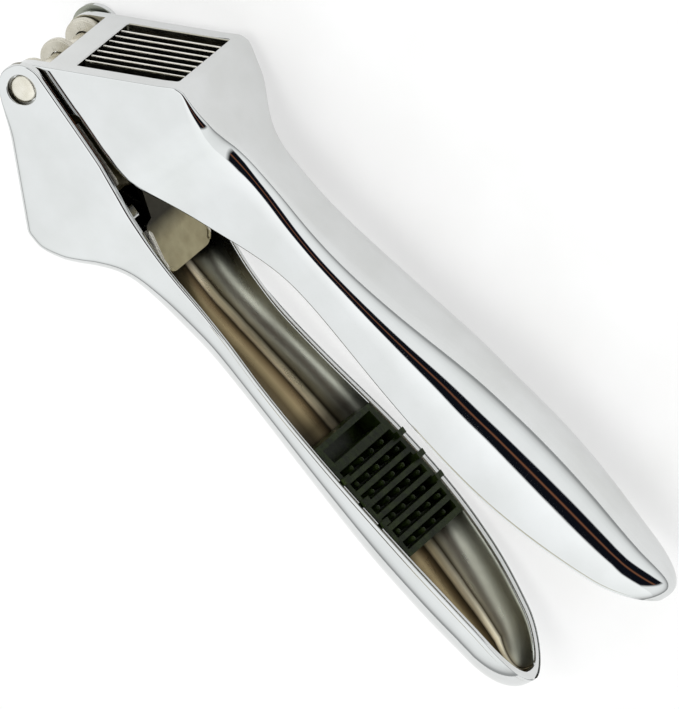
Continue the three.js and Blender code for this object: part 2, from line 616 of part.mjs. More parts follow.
// ---------- assembly ----------
const press = new THREE.Group();
press.add(
  piece('mincer_handle', mincerHandle(), CHROME),
  piece('slicer_handle', slicerHandle(), CHROME),
  piece('plunger', plunger(), SATIN),
  piece('hinge_rivet', rivet(), SATIN),
  piece('sieve_plate', sievePlate(), STEEL),
  piece('blade_frame', bladeFrame(), STEEL),
  ...bladeOffsets.map((offset, i) => piece(`slicing_blade_${i + 1}`, blade(offset), STEEL)),
  piece('cleaning_pad', cleaningPad(), OLIVE),
);

// The part's own frame: origin under the middle of its bounding box, on the table.
const bounds = new THREE.Box3().setFromObject(press);
const centre = bounds.getCenter(new THREE.Vector3());
press.position.set(-centre.x, -centre.y, -bounds.min.z);

export default press;
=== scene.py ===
"""Looks of the garlic press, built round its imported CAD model.

Shapes are worked out in millimetres from the hinge: x along the handles, y from the mincing handle towards
the slicing handle, z up along the rivet. in_frame() then puts them where the frame has the hinge.
"""
import json
import math

import bmesh
import bpy
import numpy as np
from mathutils import Matrix, Vector


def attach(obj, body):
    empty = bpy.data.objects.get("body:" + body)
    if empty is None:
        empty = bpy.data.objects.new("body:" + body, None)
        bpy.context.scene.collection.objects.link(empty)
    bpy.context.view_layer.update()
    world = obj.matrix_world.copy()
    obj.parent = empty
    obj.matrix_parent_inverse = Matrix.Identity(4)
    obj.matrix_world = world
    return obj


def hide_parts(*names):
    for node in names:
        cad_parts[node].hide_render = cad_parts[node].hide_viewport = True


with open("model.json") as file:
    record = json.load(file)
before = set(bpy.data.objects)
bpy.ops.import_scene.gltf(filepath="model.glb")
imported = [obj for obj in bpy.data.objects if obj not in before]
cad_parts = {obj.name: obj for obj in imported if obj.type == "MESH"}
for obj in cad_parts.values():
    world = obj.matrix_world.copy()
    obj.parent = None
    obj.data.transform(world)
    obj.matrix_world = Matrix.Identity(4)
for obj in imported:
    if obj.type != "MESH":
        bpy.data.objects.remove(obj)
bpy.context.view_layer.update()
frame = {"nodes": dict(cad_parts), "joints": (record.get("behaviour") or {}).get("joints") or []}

MM = 0.001
HINGE = next(j for j in frame["joints"] if j["name"] == "handle_hinge")["pos_m"]
TO_FRAME = Matrix.Translation((HINGE[0], HINGE[1], 0)) @ Matrix.Scale(MM, 4)


def in_frame(x, y, z):
    return TO_FRAME @ Vector((x, y, z))


# ---------- camera ----------
VIEW_AZIMUTH, VIEW_ELEVATION, VIEW_ROLL = (math.radians(angle) for angle in (187.5, 54, -130.8))
VIEW_DISTANCE = 4.4
VIEW_HEIGHT = 0.1622                      # what the frame's long side covers at the press
VIEW_TARGET = in_frame(90.2, 31.4, 39.6)
VIEW_BACK = Vector((
    math.sin(VIEW_AZIMUTH) * math.cos(VIEW_ELEVATION),
    -math.cos(VIEW_AZIMUTH) * math.cos(VIEW_ELEVATION),
    math.sin(VIEW_ELEVATION),
))


def make_camera():
    lens = bpy.data.cameras.new("camera")
    lens.lens = lens.sensor_width * VIEW_DISTANCE / VIEW_HEIGHT
    camera = bpy.data.objects.new("camera", lens)
    right = Vector((math.cos(VIEW_AZIMUTH), math.sin(VIEW_AZIMUTH), 0))
    level = Matrix((right, VIEW_BACK.cross(right), VIEW_BACK)).transposed()
    turn = level @ Matrix.Rotation(VIEW_ROLL, 3, "Z")
    camera.matrix_world = Matrix.Translation(VIEW_TARGET + VIEW_BACK * VIEW_DISTANCE) @ turn.to_4x4()
    bpy.context.scene.collection.objects.link(camera)
    bpy.context.scene.camera = camera


make_camera()

# ---------- driving dimensions, in millimetres ----------
MID = 19.8                                # height of the mirror plane
HEAD_HALF = 19.8
EAR_RADIUS = 6.2
CHEEK_WALL = 2
TIP_ROUNDING = 14                         # length of a handle's end over which its tip closes
TIP_BLUNTNESS = 2.8                       # how full the tip stays when seen from the side
RIM_SHARE = 0.42                          # a rim's rounding on each side, as a share of its wall
SHALLOW_RIM, SHALLOW_CORNER = 0.4, 0.45   # the most that roundings take of a shallow section's depth
EAR_EDGE = 0.55
RIVET_BORE = 2.2
RECESS_RADIUS = 3.7
RECESS_DEPTH = 1.6
RIVET_RADIUS = 1.9
RIVET_HEAD = 3.3
GAP = 0.3

SIEVE_SLOPE = math.radians(-29.2)
WINDOW_SLOPE = math.radians(52.9)
WINDOW_OFFSET = 5.4
WINDOW_PLATE = 2.5
WINDOW_START = 11
WINDOW_LENGTH = 26.2
WINDOW_HALF = 13
HOPPER_HALF = 17
HOPPER_WALL = 3
HOPPER_EAR = 5.3
HOPPER_SHOULDER = 6.5
TROUGH_START, TROUGH_DEEP = 46, 66        # where the slicing handle's hollow starts, and has its full depth
CHAMBER_REACH = 31.2
SIEVE_START = 8
SIEVE_OPENING = 25
SIEVE_SIDE = 27.8
SIEVE_OUT = EAR_RADIUS - CHEEK_WALL       # inner face of the sieve wall
SIEVE_HOLE = 1.1
HOLE_PITCH = 3.6
HOLE_SPREAD = 5.2
GRID_ROWS = 7                             # rows of sieve holes, and of the pad's pins

BLADE_COUNT = 7
BLADE_PITCH = 3.03
BLADE_HALF = 0.25
BLADE_LOW, BLADE_HIGH = 1.8, 5.2          # measured out from the hinge axis

LUG_START, LUG_LENGTH = 36, 3.3           # lugs inside the cheeks that stop the leaf
LUG_REACH, LUG_LOW, LUG_HIGH = 13.4, 0.9, 2.8

LEAF_TOP, LEAF_THICKNESS, LEAF_HALF = 5.9, 1.4, 17
LEAF_BEND, NECK_HALF = 35.5, 8.5
TAB_START, TAB_TIP, TAB_HALF, TAB_CORNER = 43, 55.1, 11.8, 4.5
TAB_ROOT_TOP, TAB_TIP_TOP = 1, -1.55      # the leaf's upper face where the tab starts and ends
KNUCKLE_RADIUS, KNUCKLE_WIDTH, KNUCKLE_SPACING = 5, 2, 12.6
BLOCK_REACH, BLOCK_HALF, BLOCK_FACE = 30.6, 13.4, -2             # slicing wedge
POCKET_REACH, POCKET_FACE = 32, 3.1                              # mincing wedge
EAR_CLEARANCE = 0.5

TRAY_START, TRAY_END, TRAY_DEPTH, TRAY_SINK = 106.5, 139.1, 6, 0.25
TRAY_BORDER, BAY_DEPTH = 1.7, 4.6
RIB_COUNT, RIB_PITCH, RIB_WIDTH, RIB_FIRST = 8, 3.55, 1.3, 113.4
GROOVE_DEPTH = 3.4
PIN_RADIUS, PIN_HEIGHT = 0.85, 3.8
CLIP_PLACES = (116.2, 122.8, 129.3)


def sieve_plane(x):
    return (x * math.sin(SIEVE_SLOPE) - EAR_RADIUS) / math.cos(SIEVE_SLOPE)


def window_plane(x):
    return (WINDOW_OFFSET + x * math.sin(WINDOW_SLOPE)) / math.cos(WINDOW_SLOPE)


def window_point(along, out):
    c, s = math.cos(WINDOW_SLOPE), math.sin(WINDOW_SLOPE)
    return along * c - out * s, along * s + out * c


def sieve_point(along, out):
    c, s = math.cos(SIEVE_SLOPE), math.sin(SIEVE_SLOPE)
    return along * c + out * s, along * s - out * c


# Mincing handle: x, rim height, belly height, half width, roundness, wall
MINCER = [
    (0, 6.2, sieve_plane(0), 19.8, 0, 2), (15, 6.2, sieve_plane(15), 19.8, 0, 2),
    (24, 6.1, sieve_plane(24), 19.8, 0, 2), (26, 5.9, sieve_plane(26), 19.8, 0, 2),
    (29, 5.5, -23, 19.7, 0, 2), (32, 5, -23, 19.4, 0, 2), (38, 3.5, -20.9, 18.2, 0.03, 2),
    (41.5, 2.8, -18.2, 17.4, 0.08, 1.9), (44, 2.3, -15.1, 16.8, 0.14, 1.8),
    (47, 1.8, -12.5, 16.2, 0.25, 1.7), (51, 1.4, -11.1, 15.4, 0.4, 1.6), (57, 1.1, -10.9, 14.5, 0.62, 1.5),
    (65, 1.3, -10.7, 13.3, 0.85, 1.5), (75, 1.9, -9.3, 12.95, 1, 1.5), (85, 2.9, -7.7, 13.9, 1, 1.5),
    (95, 4.35, -6.5, 14.9, 1, 1.6), (105, 6.1, -5.7, 15.85, 1, 1.7), (115, 7.85, -5, 16.6, 1, 1.85),
    (125, 9.45, -4.5, 16.8, 1, 2), (135, 10.8, -3.9, 16.5, 1, 2.2), (145, 11.8, -2.9, 15.6, 1, 2.4),
    (155, 12.45, -1.9, 14, 1, 2.4), (165, 12.55, -0.4, 11.6, 1, 2.4), (172.5, 11.9, 0.3, 9.8, 1, 2.4),
    (179.9, 10.6, 0.6, 8, 1, 2.4),
]
# Slicing handle: x, mouth height, back height, half width, roundness, wall
SLICER = [
    (-2, 6.5, window_plane(-2), 17, 0, 3), (16, 6.5, window_plane(16), 17, 0, 3),
    (19, 6.5, window_plane(19), 17, 0, 3), (21, 6.5, 34.9, 17, 0, 3), (26, 6.5, 34.5, 16.7, 0.04, 3),
    (30, 6.6, 34.3, 16, 0.08, 3), (34, 6.9, 33.8, 14.2, 0.14, 3), (38, 7.9, 33.3, 11.9, 0.2, 3),
    (42, 9.5, 33, 10.6, 0.24, 3), (46, 11.7, 33.2, 10.1, 0.28, 2.6), (52, 15, 34, 10.2, 0.34, 2.4),
    (60, 19.8, 35, 10.6, 0.42, 2.2), (70, 24.6, 37.1, 11.3, 0.5, 2.1), (80, 27, 39.9, 12.1, 0.58, 2.1),
    (90, 28.7, 43.1, 13, 0.7, 2.1), (100, 30.3, 46.6, 13.9, 0.82, 2.1), (110, 31.9, 49.9, 14.5, 0.92, 2.1),
    (120, 33.7, 52.6, 14.9, 1, 2.1), (130, 35.7, 55, 14.9, 1, 2.1), (140, 38.1, 56.8, 14.4, 1, 2.1),
    (150, 41, 58, 13.3, 1, 2.1), (160, 44.3, 58.7, 11.7, 1, 2.1), (167, 46.9, 59.2, 10.3, 1, 2.1),
    (172, 49.1, 59.9, 9.4, 1, 2.1), (179.1, 53.4, 62, 8, 1, 2.1),
]
MOUTH, BACK, HALF, ROUND, WALL = 1, 2, 3, 4, 5


# ---------- curves ----------
def smoothstep(low, high, x):
    t = np.clip((np.asarray(x, float) - low) / (high - low), 0, 1)
    return t * t * (3 - 2 * t)


def lerp(a, b, t):
    return a + (b - a) * t


def table_curve(rows, column):
    """Shape-preserving cubic through the rows of a table, straight beyond its ends."""
    xs, ys = np.array([(row[0], row[column]) for row in rows], float).T
    slope = np.diff(ys) / np.diff(xs)
    before, after = slope[:-1], slope[1:]
    total = np.where(before * after > 0, before + after, 1)
    inner = np.where(before * after > 0, 2 * before * after / total, 0)
    tangent = np.concatenate([slope[:1], inner, slope[-1:]])

    def curve(x):
        x = np.asarray(x, float)
        i = np.clip(np.searchsorted(xs, x, side="right") - 1, 0, len(xs) - 2)
        span = xs[i + 1] - xs[i]
        t = np.clip((x - xs[i]) / span, 0, 1)
        inside = (ys[i] * (1 + 2 * t) * (1 - t) ** 2 + ys[i + 1] * t * t * (3 - 2 * t)
                  + span * (tangent[i] * t * (1 - t) ** 2 + tangent[i + 1] * t * t * (t - 1)))
        beyond = np.maximum(x - xs[-1], 0) * tangent[-1] + np.minimum(x - xs[0], 0) * tangent[0]
        return inside + beyond

    return curve


SOFTENING = 3.0                           # how far a change of bend is spread along a handle


def softened(curve, start, full):
    """The curve with its changes of bend spread out, from start onwards."""
    steps = np.linspace(-2.5, 2.5, 21)
    weights = np.exp(-steps ** 2 / 2)
    weights /= weights.sum()

    def soft(x):
        x = np.asarray(x, float)
        mean = sum(w * curve(x + s * SOFTENING) for w, s in zip(weights, steps))
        return lerp(curve(x), mean, smoothstep(start, full, x))

    return soft


# ---------- meshes ----------
def new_object(name, mesh):
    obj = bpy.data.objects.new(name, mesh)
    bpy.context.scene.collection.objects.link(obj)
    return obj


def loft(name, rings, closed_ends=True):
    """A closed mesh through rings of points, all with the same number of points."""
    rings = np.asarray(rings, float)
    count, around = rings.shape[:2]
    corner = np.arange(count * around).reshape(count, around)
    after = np.roll(corner, -1, axis=1)
    quads = np.stack([corner[:-1], after[:-1], after[1:], corner[1:]], axis=-1).reshape(-1, 4).tolist()
    ends = [corner[0][::-1].tolist(), corner[-1].tolist()] if closed_ends else []
    mesh = bpy.data.meshes.new(name)
    mesh.from_pydata(rings.reshape(-1, 3).tolist(), [], quads + ends)
    return new_object(name, cleaned(mesh))


def cleaned(mesh):
    """Points that coincide are merged, and the faces point out."""
    reach = 1e-4
    bm = bmesh.new()
    bm.from_mesh(mesh)
    bmesh.ops.remove_doubles(bm, verts=bm.verts, dist=reach)
    bmesh.ops.dissolve_degenerate(bm, edges=bm.edges, dist=reach)
    bmesh.ops.recalc_face_normals(bm, faces=bm.faces)
    if bm.calc_volume(signed=True) < 0:
        bmesh.ops.reverse_faces(bm, faces=bm.faces)
    bm.to_mesh(mesh)
    bm.free()
    return mesh


def applied(obj):
    """The object with its modifiers made part of its mesh."""
    graph = bpy.context.evaluated_depsgraph_get()
    mesh = bpy.data.meshes.new_from_object(obj.evaluated_get(graph))
    obj.modifiers.clear()
    obj.data = mesh
    return obj


def combined(base, others, operation):
    for other in others:
        cut = base.modifiers.new(operation.lower(), "BOOLEAN")
        cut.solver = "MANIFOLD"
        cut.operation = operation
        cut.object = other
    applied(base)
    for other in others:
        bpy.data.objects.remove(other)
    return base


def cut_away(base, *cutters):
    return combined(base, cutters, "DIFFERENCE")


def joined(base, *others):
    return combined(base, others, "UNION")


def prism(name, outline, low, high):
    outline = np.asarray(outline, float)
    return loft(name, [np.column_stack([outline, np.full(len(outline), z)]) for z in (low, high)])


def box(name, x0, x1, y0, y1, z0, z1):
    return prism(name, [(x0, y0), (x1, y0), (x1, y1), (x0, y1)], z0, z1)


def turned(name, profile, sides=64):
    """A solid of revolution about the hinge axis, from (radius, z) points that start and end on it."""
    angles = np.linspace(0, 2 * math.pi, sides, endpoint=False)
    rings = [[(r * math.cos(a), r * math.sin(a), z) for a in angles] for r, z in profile]
    return loft(name, rings, closed_ends=False)


def arc(radius, start, stop, steps, centre=(0, 0)):
    angles = np.radians(np.linspace(start, stop, steps + 1))
    return [(centre[0] + radius * math.cos(a), centre[1] + radius * math.sin(a)) for a in angles]


def full_circle(radius, points):
    return arc(radius, 0, 360 - 360 / points, points - 1)


# ---------- sections of the two castings ----------
def rounded_side(half, sunk, depth, reach_y, reach_z):
    """Half width at a depth below the mouth, where the corner of the back takes some of it away."""
    low = np.clip((sunk - (depth - reach_y)) / np.maximum(reach_y, 1e-6), 0, 1)
    return half - reach_z * (1 - np.sqrt(1 - low ** 2))


class Casting:
    """A handle with its head. It is open on one side, its mouth, and rounded at its back and its tip.

    way is the direction in y from the mouth to the back, and ear the radius of the round end at the hinge.
    mouth_end and back_end are the x at which that round end gives way to the mouth and to the back. soft is
    where the softening of the curves starts and is full. corner gives the back's rounding at x, and
    widest_rim is the most that a rim is rounded.
    """

    def __init__(self, rows, way, ear, mouth_end, back_end, soft, corner, widest_rim):
        curve = [softened(table_curve(rows, c), *soft) for c in (MOUTH, BACK, HALF, ROUND, WALL)]
        self.mouth, self.back, self.full_half, self.round, self.wall = curve
        self.way, self.ear, self.mouth_end, self.back_end = way, ear, mouth_end, back_end
        self.corner, self.widest_rim = corner, widest_rim
        self.tip = rows[-1][0]

    def circle(self, x, inset):
        return np.sqrt(np.maximum(0, (self.ear - inset) ** 2 - x * x))

    def taper(self, x, inset=0.0, fullness=2.0):
        closing = np.maximum(0, x - self.tip + TIP_ROUNDING) / (TIP_ROUNDING - inset)
        return np.maximum(0, 1 - closing ** fullness) ** (1 / fullness)

    def half(self, x, inset=0.0):
        return np.maximum(0, self.full_half(x) - inset) * self.taper(x, inset)

    def steepness(self, curve, x):
        step = 0.3
        return np.hypot(1, (curve(x + step) - curve(x - step)) / (2 * step))

    def depth(self, x, thick=0.0, inset=0.0):
        return (np.abs(self.back(x) - self.mouth(x)) - thick) * self.taper(x, inset, TIP_BLUNTNESS)

    def outer(self, x):
        """Half of the outer section at each x, from the mouth round to the middle of the back."""
        x = np.asarray(x, float)[:, None]
        depth = self.depth(x)
        rim = np.minimum(RIM_SHARE * self.wall(x), self.widest_rim)
        edge = np.minimum(rim, SHALLOW_RIM * np.maximum(depth, 2 * self.circle(x, 0) * (x < 0)))
        edge = np.maximum(edge, 1e-3)
        turn = np.radians(np.linspace(0, 90, 6))[None, :]
        steep = self.steepness(self.back, x)
        reach_y, reach_z = self.reach(x, depth, self.half(x), self.corner(x), steep)
        near_tip = np.clip(1 - (self.tip - x) / edge, 0, 1)
        near_ear = np.clip(1 - (x + self.ear) / edge, 0, 1)
        sunk = np.maximum(edge * (1 - np.cos(turn)), edge * (1 - np.sqrt(1 - near_tip ** 2)))
        widest = self.half(x) - edge * (1 - np.sqrt(1 - near_ear ** 2))
        rim_y = self.mouth_at(x, sunk)
        rim_half = self.half(x, edge * (1 - np.sin(turn)))
        rim_z = np.minimum(rounded_side(rim_half, sunk, depth, reach_y, reach_z), widest)
        down = np.linspace(0, 1, 8)[None, 1:-1]
        straight = lerp(edge, np.maximum(edge, depth - reach_y), down)
        side_y = lerp(self.mouth_at(x, edge), self.back_at(x, 1, depth, reach_y), down)
        side_z = np.minimum(rounded_side(self.half(x), straight, depth, reach_y, reach_z), widest)
        bend = np.radians(np.linspace(0, 90, 19))[None, :]
        back_y = self.back_at(x, 1 - np.sin(bend), depth, reach_y)
        back_z = np.minimum(self.half(x) - reach_z * (1 - np.cos(bend)), widest)
        heights = np.concatenate([rim_y, side_y, back_y], 1)
        return np.stack([heights, np.concatenate([rim_z, side_z, back_z], 1)], -1)

    def reach(self, x, depth, half, corner, steep=1):
        """How far the rounding of the back reaches along the side and across the back."""
        reach_y = lerp(np.minimum(corner * steep, SHALLOW_CORNER * depth), depth, self.round(x))
        reach_z = lerp(np.minimum(corner, half), half, self.round(x))
        return reach_y, reach_z

    def mouth_at(self, x, sunk):
        """The mouth, or a line sunk below it, which follows the round ear at the hinge."""
        round_ear = -self.way * self.circle(x, sunk)
        return np.where(x < self.mouth_end * (self.ear - sunk) / self.ear, round_ear,
                        self.mouth(x) + self.way * sunk)

    def back_at(self, x, share, depth, reach_y):
        """The back, or a share of the way up its rounding, which follows the round ear at the hinge."""
        sunk = self.corner(x) * share
        round_ear = self.way * self.circle(x, sunk)
        flat = self.mouth(x) + self.way * (depth - reach_y * share)
        return np.where(x < self.back_end * (self.ear - sunk) / self.ear, round_ear, flat)

    def hollow(self, x, floor_share=1.0, corner=1.0):
        """Half of the hollow's section at each x, flared at the mouth, from above the mouth to its floor."""
        overshoot, thickest, clear = 6.0, 1.6, 0.05
        x = np.asarray(x, float)[:, None]
        wall = self.wall(x)
        thick = wall * np.minimum(thickest, self.steepness(self.back, x))
        depth = self.depth(x, thick, wall) * floor_share
        half = self.half(x, wall)
        flare = np.minimum(RIM_SHARE * wall, SHALLOW_RIM * np.maximum(depth, 0) + 1e-3)
        turn = np.radians(np.linspace(78, 0, 6))[None, :]
        reach_y, reach_z = self.reach(x, depth, half, corner)
        sunk = flare * (1 - np.sin(turn))
        flare_z = rounded_side(half, sunk, depth, reach_y, reach_z) + flare * (1 - np.cos(turn))
        down = lerp(flare, np.maximum(flare, depth - reach_y), np.linspace(0, 1, 6)[None, 1:-1])
        down_z = rounded_side(half, down, depth, reach_y, reach_z)
        bend = np.radians(np.linspace(0, 90, 17))[None, :]
        floor_sunk = depth - reach_y * (1 - np.sin(bend))
        floor_z = half - reach_z * (1 - np.cos(bend))
        above_z = flare_z[:, :1] + clear
        above, floor = np.full_like(above_z, -overshoot), np.maximum(floor_sunk, flare)
        sunk_all = np.concatenate([above, sunk, down, floor], 1)
        z_all = np.concatenate([above_z, flare_z, down_z, floor_z], 1)
        return np.stack([self.mouth(x) + self.way * sunk_all, z_all], -1)


def mirrored_rings(x, halves):
    """Whole rings, both sides of the mirror plane, from half sections."""
    far = halves[:, ::-1].copy()
    far[..., 1] *= -1
    whole = np.concatenate([halves, far], 1)
    place = np.broadcast_to(np.asarray(x, float)[:, None], whole.shape[:2])
    return np.stack([place, whole[..., 0], MID + whole[..., 1]], -1)


HEAD_END, ROUNDED_END = 48, 163           # between them the handles' sections are evenly spaced
HANDLE_STEP = 1.1


def tip_stations(tip):
    """Closer and closer sections towards the tip, up to just short of it."""
    steps, nearly_closed = 24, 86
    return tip - TIP_ROUNDING * (1 - np.sin(np.radians(np.linspace(0, nearly_closed, steps + 1))))


def ear_stations(ear):
    """Sections across the round ear, from just inside its end to the hinge axis."""
    steps, just_inside = 18, 3.2
    return -ear * np.cos(np.radians(np.linspace(just_inside, 90, steps + 1)))


def hollow_stations(head, handle, form):
    """Sections of a hollow, which stops where its tip has closed."""
    x = np.concatenate([head, handle, tip_stations(form.tip)])
    end = form.tip - form.wall(form.tip) - 0.02
    return np.append(x[x < end], end)


mincer_form = Casting(
    MINCER, -1, EAR_RADIUS, 0, -EAR_RADIUS * math.sin(-SIEVE_SLOPE), (30, 48),
    lambda x: lerp(EAR_EDGE, 3.0, smoothstep(-3, 9, x)), 1.0,
)
slicer_form = Casting(
    SLICER, 1, HOPPER_EAR, 0, -HOPPER_EAR * math.sin(WINDOW_SLOPE), (24, 42),
    lambda x: lerp(0.7, 3.0, smoothstep(14, 44, x)), 0.8,
)
EAR_FOOT = 12                             # where the slicing head's ear meets its mouth
EAR_LEAVES = -36                          # angle at which that line leaves the round ear


def ear_underside(x):
    """The slicing head's mouth, which drops along the ear towards the hinge."""
    angle = math.radians(EAR_LEAVES)
    foot = (HOPPER_EAR * math.cos(angle), HOPPER_EAR * math.sin(angle))
    rise = (HOPPER_SHOULDER - foot[1]) / (EAR_FOOT - foot[0])
    slope = foot[1] + (np.asarray(x, float) - foot[0]) * rise
    bottom = -np.sqrt(np.maximum(0, HOPPER_EAR ** 2 - np.clip(x, 0, foot[0]) ** 2))
    return np.where(x < foot[0], bottom, slope)


plain_mouth = slicer_form.mouth


def slicer_mouth(x):
    return np.where(x < EAR_FOOT, np.minimum(ear_underside(x), plain_mouth(x)), plain_mouth(x))


slicer_form.mouth = slicer_mouth


def mincer_casting():
    """The mincing handle, with its pocket, the sieve's opening, the rivet's recesses and two lugs."""
    head = np.concatenate([np.arange(0.75, 26, 1.25), np.arange(26, HEAD_END, 0.6)])
    handle = np.arange(HEAD_END, ROUNDED_END + 0.5, HANDLE_STEP)
    x = np.concatenate([ear_stations(EAR_RADIUS), head, handle, tip_stations(mincer_form.tip)])
    shell = loft("mincer_casting", mirrored_rings(x, mincer_form.outer(x)))
    pocket = np.concatenate([np.arange(-12, 26, 1.9), head[head > 25.9]])
    x = hollow_stations(pocket, handle, mincer_form)
    hollow = loft("hollow", mirrored_rings(x, mincer_form.hollow(x)))
    inner_half, past_ear, ledge = HEAD_HALF - CHEEK_WALL, EAR_RADIUS + 0.9, 1.7
    opening = (SIEVE_START, SIEVE_START + SIEVE_OPENING)
    hollowed = cut_away(
        shell, hollow,
        turned("cheeks_inside", rod(past_ear, MID - inner_half, MID + inner_half), sides=96),
        *rivet_cutters(),
        window_cutter("sieve_opening", sieve_point, *opening, SIEVE_OPENING / 2, 2.0, EAR_RADIUS),
        slab("sieve_seat", sieve_point, opening[0] - ledge, opening[1] + ledge, 0, SIEVE_OUT + 1.3,
             SIEVE_SIDE / 2 + GAP),
    )
    return joined(hollowed, lug(1), lug(-1))


def lug(way):
    """A rounded stop inside a cheek, that the plunger's leaf comes down on."""
    corner, sunk = 0.6, 1.2
    root = float(mincer_form.half(LUG_START)) - sunk
    low, high = sorted((MID + way * LUG_REACH, MID + way * root))
    outline = [point for quarter, (a, b) in enumerate([(1, 1), (0, 1), (0, 0), (1, 0)])
               for point in arc(corner, 90 * quarter, 90 * quarter + 90, 5, (
                   lerp(LUG_START + corner, LUG_START + LUG_LENGTH - corner, a),
                   lerp(LUG_LOW + corner, LUG_HIGH - corner, b)))]
    return prism("lug", outline, low, high)


def rod(radius, low, high):
    """Profile of a plain round rod."""
    return [(0, low), (radius, low), (radius, high), (0, high)]


def hinge_bore():
    return turned("bore", rod(RIVET_BORE, -1, 2 * MID + 1))


FLARE_TURNS = np.radians([0, 25, 50, 75])


def rivet_cutters():
    """The bore through both cheeks, and the round recess for each rivet head."""
    yield hinge_bore()
    flare = 0.3
    lip = [(RECESS_RADIUS + flare * (1 - math.cos(a)), flare * (1 - math.sin(a))) for a in FLARE_TURNS]
    profile = [(0, RECESS_DEPTH), (RECESS_RADIUS, RECESS_DEPTH), *lip, (lip[-1][0], -1), (0, -1)]
    yield turned("recess_low", profile)
    yield turned("recess_high", [(r, 2 * MID - z) for r, z in profile])


def slab(name, point, start, end, inner, outer, half):
    """A flat block lying along a grid face."""
    corners = [point(start, inner), point(end, inner), point(end, outer), point(start, outer)]
    return prism(name, corners, MID - half, MID + half)


def window_cutter(name, point, start, end, half, inner, face):
    """A square cutter through a sloping wall, rounded at its corners and flared at the wall's outer face."""
    flare, corner = 0.35, 0.5
    flared = [(face - flare * (1 - math.sin(a)), flare * (1 - math.cos(a))) for a in FLARE_TURNS]
    levels = [(inner, 0.0), *flared, (face + 2, flared[-1][1] + 0.02)]
    middle, reach = (start + end) / 2, (end - start) / 2
    rings = []
    for out, wider in levels:
        ring = []
        for quarter, (a, b) in enumerate([(1, 1), (-1, 1), (-1, -1), (1, -1)]):
            centre = (a * (reach - corner), b * (half - corner))
            ring += arc(corner + wider, 90 * quarter, 90 * quarter + 90, 4, centre)
        rings.append([(*point(middle + u, out), MID + v) for u, v in ring])
    return loft(name, rings)


def slicer_casting():
    """The slicing handle, with its chamber, the window and the hollow under the handle."""
    head = np.concatenate([np.arange(0.6, 18.5, 1.1), np.arange(18.7, 22, 0.2), np.arange(22, HEAD_END, 0.6)])
    handle = np.arange(HEAD_END, ROUNDED_END, HANDLE_STEP)
    x = np.concatenate([ear_stations(HOPPER_EAR), head, handle, tip_stations(slicer_form.tip)])
    shell = loft("slicer_casting", mirrored_rings(x, slicer_form.outer(x)))
    x = hollow_stations([], handle, slicer_form)
    deepening = np.maximum(0.02, smoothstep(TROUGH_START, TROUGH_DEEP, x))[:, None]
    trough = loft("trough", mirrored_rings(x, slicer_form.hollow(x, deepening, 1.5)))
    inside, lip, below = HOPPER_HALF - HOPPER_WALL, -1.5, -8
    window_end = WINDOW_START + WINDOW_LENGTH
    return cut_away(
        shell,
        prism("chamber", chamber_outline(), MID - inside, MID + inside),
        box("hinge_gap", below, lip, below, 9, MID - inside, MID + inside),
        box("under_lip", below, EAR_FOOT + 1, below, HOPPER_SHOULDER, MID - inside, MID + inside),
        window_cutter("window", window_point, WINDOW_START, window_end, WINDOW_HALF, 1.0, WINDOW_OFFSET),
        trough,
        hinge_bore(),
    )


def chamber_outline():
    """The slicing head's chamber from the side: a sector round the hinge, open towards the mouth."""
    inner, open_below = WINDOW_OFFSET - WINDOW_PLATE, -16
    return [window_point(-15, inner), (-11, open_below), (28, open_below), *arc(CHAMBER_REACH, -25, 35, 24),
            window_point(WINDOW_START + WINDOW_LENGTH + 2.4, inner)]


# ---------- plunger between the two chambers ----------
def plunger_piece():
    """The leaf with its thumb tab, the wedges on both sides of it and the knuckles round the rivet."""
    upper = [(4, LEAF_TOP), (BLOCK_REACH - 1.5, LEAF_TOP), (LEAF_BEND, 3.7), (TAB_START, TAB_ROOT_TOP),
             (TAB_TIP, TAB_TIP_TOP)]
    side = [(x, y - LEAF_THICKNESS) for x, y in upper] + upper[::-1]
    leaf = combined(prism("leaf", side, 0, 2 * MID), [leaf_plan()], "INTERSECT")
    low = LEAF_TOP - LEAF_THICKNESS
    wedges = [prism("slicing_wedge", slicing_wedge(low), MID - BLOCK_HALF, MID + BLOCK_HALF),
              prism("mincing_wedge", mincing_wedge(low), MID - LEAF_HALF, MID + LEAF_HALF)]
    knuckles = [knuckle(MID + offset) for offset in (-KNUCKLE_SPACING, 0, KNUCKLE_SPACING)]
    inside = HOPPER_HALF - HOPPER_WALL - EAR_CLEARANCE
    outside = HOPPER_HALF + 1
    clear = [prism("ear_clearance", ear_clearance(), *sorted((MID + way * inside, MID + way * outside)))
             for way in (1, -1)]
    return cut_away(joined(leaf, *wedges, *knuckles, tab_bead(1), tab_bead(-1)), *clear, hinge_bore())


def tab_bead(way):
    """A rounded bead along one side of the thumb tab and round its corner, thinner at both ends."""
    radius, end_size, inwards, sunk = 0.75, 0.3, 0.5, 0.25
    corner = arc(TAB_CORNER, 90, 25, 10, (TAB_TIP - TAB_CORNER, TAB_HALF - TAB_CORNER))
    path = [(TAB_START + 0.6 + i, TAB_HALF) for i in range(7)] + corner
    slope = (TAB_TIP_TOP - TAB_ROOT_TOP) / (TAB_TIP - TAB_START)
    rings = []
    for i, (x, z) in enumerate(path):
        before, after = path[max(i - 1, 0)], path[min(i + 1, len(path) - 1)]
        heading = math.atan2(after[1] - before[1], after[0] - before[0])
        size = end_size if i in (0, len(path) - 1) else 1.0
        y = TAB_ROOT_TOP + slope * (x - TAB_START) - sunk
        x, z = x + inwards * math.sin(heading), z - inwards * math.cos(heading)
        rings.append([(x - a * size * math.sin(heading), y + b * size,
                       MID + way * (z + a * size * math.cos(heading))) for a, b in full_circle(radius, 24)])
    return loft("bead", rings)


